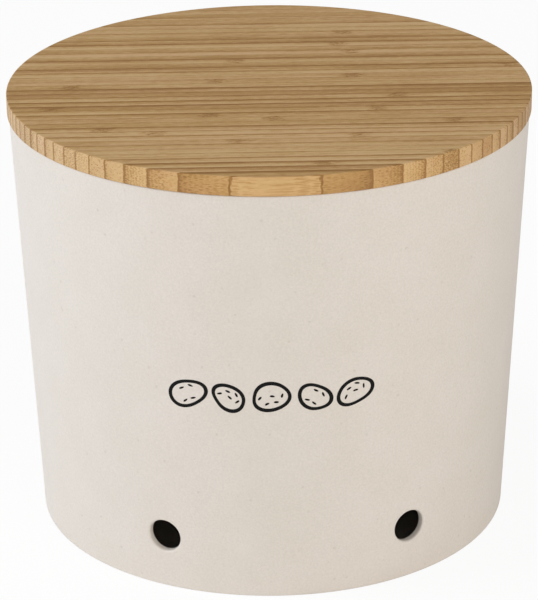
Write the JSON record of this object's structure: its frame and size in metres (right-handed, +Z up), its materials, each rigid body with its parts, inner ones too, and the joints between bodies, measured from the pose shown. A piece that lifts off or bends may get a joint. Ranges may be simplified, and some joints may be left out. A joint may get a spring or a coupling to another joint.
{
  "type": "potato storage bin",
  "caption": "Round tapered kitchen bin with vents low in its wall and a lift-off lid of laminated bamboo strips.",
  "frame": {"origin": "centre of the foot ring, on the surface the bin stands on", "axes": "+Z up; the tub's front, between its two front vents, faces -Y"},
  "size_m": [0.25, 0.25, 0.2144],
  "materials": {
    "bamboo_fibre_composite": "moulded bamboo fibre and resin, cream with fine specks, dull",
    "bamboo": "laminated bamboo strips on edge, sanded and oiled, satin",
    "silicone": "moulded silicone, off-white, dull"
  },
  "bodies": {
    "bin": {"tub": "bamboo_fibre_composite"},
    "lid": {"lid_seal": "silicone", "lid_strip_01": "bamboo", "lid_strip_02": "bamboo", "lid_strip_03": "bamboo", "lid_strip_04": "bamboo", "lid_strip_05": "bamboo", "lid_strip_06": "bamboo", "lid_strip_07": "bamboo", "lid_strip_08": "bamboo", "lid_strip_09": "bamboo", "lid_strip_10": "bamboo", "lid_strip_11": "bamboo", "lid_strip_12": "bamboo", "lid_strip_13": "bamboo", "lid_strip_14": "bamboo", "lid_strip_15": "bamboo", "lid_strip_16": "bamboo", "lid_strip_17": "bamboo", "lid_strip_18": "bamboo", "lid_strip_19": "bamboo", "lid_strip_20": "bamboo", "lid_strip_21": "bamboo", "lid_strip_22": "bamboo", "lid_strip_23": "bamboo", "lid_strip_24": "bamboo", "lid_strip_25": "bamboo", "lid_strip_26": "bamboo", "lid_strip_27": "bamboo", "lid_strip_28": "bamboo", "lid_strip_29": "bamboo", "lid_strip_30": "bamboo", "lid_strip_31": "bamboo", "lid_strip_32": "bamboo", "lid_strip_33": "bamboo", "lid_strip_34": "bamboo", "lid_strip_35": "bamboo", "lid_strip_36": "bamboo", "lid_strip_37": "bamboo", "lid_strip_38": "bamboo", "lid_strip_39": "bamboo", "lid_strip_40": "bamboo", "lid_strip_41": "bamboo", "lid_strip_42": "bamboo", "lid_strip_43": "bamboo"}
  },
  "joints": [
    {"name": "lid_lift", "type": "slide", "parent": "bin", "child": "lid", "axis": [0, 0, 1], "range_m": [0, 0.15]}
  ]
}
